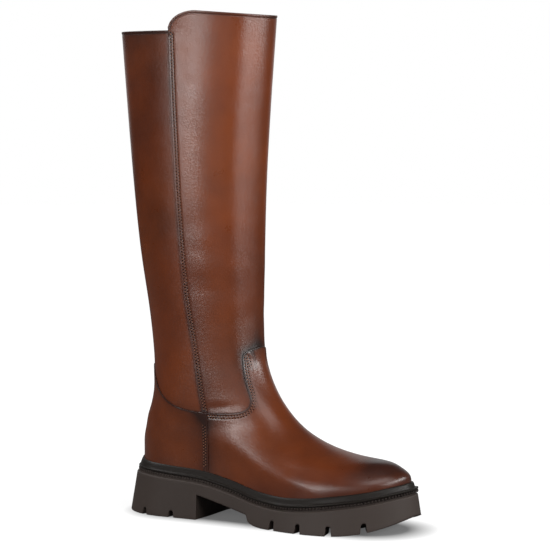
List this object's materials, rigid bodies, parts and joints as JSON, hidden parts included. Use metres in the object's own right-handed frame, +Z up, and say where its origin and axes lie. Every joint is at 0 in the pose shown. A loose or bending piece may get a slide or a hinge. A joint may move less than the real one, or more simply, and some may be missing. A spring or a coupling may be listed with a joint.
{
  "type": "knee-high boot",
  "caption": "Right knee-high pull-on boot with a burnished leather shaft and a thick lugged rubber sole with a low block heel.",
  "frame": {"origin": "middle of the footprint's bounding box, on the floor", "axes": "+X to the toe, +Y to the inner (medial) side of this right boot, +Z up"},
  "size_m": [0.2912, 0.1087, 0.4475],
  "materials": {
    "outsole_rubber": "matt dark brown moulded rubber",
    "welt_rubber": "satin greenish black moulded rubber",
    "footbed": "matt tan lining leather",
    "upper_leather": "polished brown calf, burnished darker at the seams, toe and heel",
    "lining_leather": "matt tan lining leather",
    "thread": "waxed brown thread"
  },
  "bodies": {
    "root": {"outsole": "outsole_rubber", "welt": "welt_rubber", "insole": "footbed", "upper": "upper_leather"}
  },
  "joints": []
}
